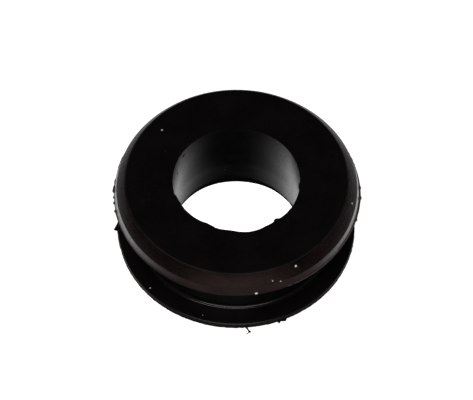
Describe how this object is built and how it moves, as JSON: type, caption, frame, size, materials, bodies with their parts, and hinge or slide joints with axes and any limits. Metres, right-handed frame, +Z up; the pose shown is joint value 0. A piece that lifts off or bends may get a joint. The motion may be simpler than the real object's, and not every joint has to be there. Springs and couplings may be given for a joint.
{
  "type": "shift rod bushing",
  "caption": "Round black rubber bush with a through bore, a bevelled head, an outer groove that snaps into a lever's eye and a thin lip, for the pin of a shift rod.",
  "frame": {"origin": "centre of the bore in the plane of the base", "axes": "+Z up along the bore's axis, from the lip to the head"},
  "size_m": [0.0192, 0.0192, 0.0072],
  "materials": {
    "rubber": "moulded black rubber, matt with a satin sheen on the bevel, the sides and the bore"
  },
  "bodies": {
    "root": {"bushing": "rubber"}
  },
  "joints": []
}
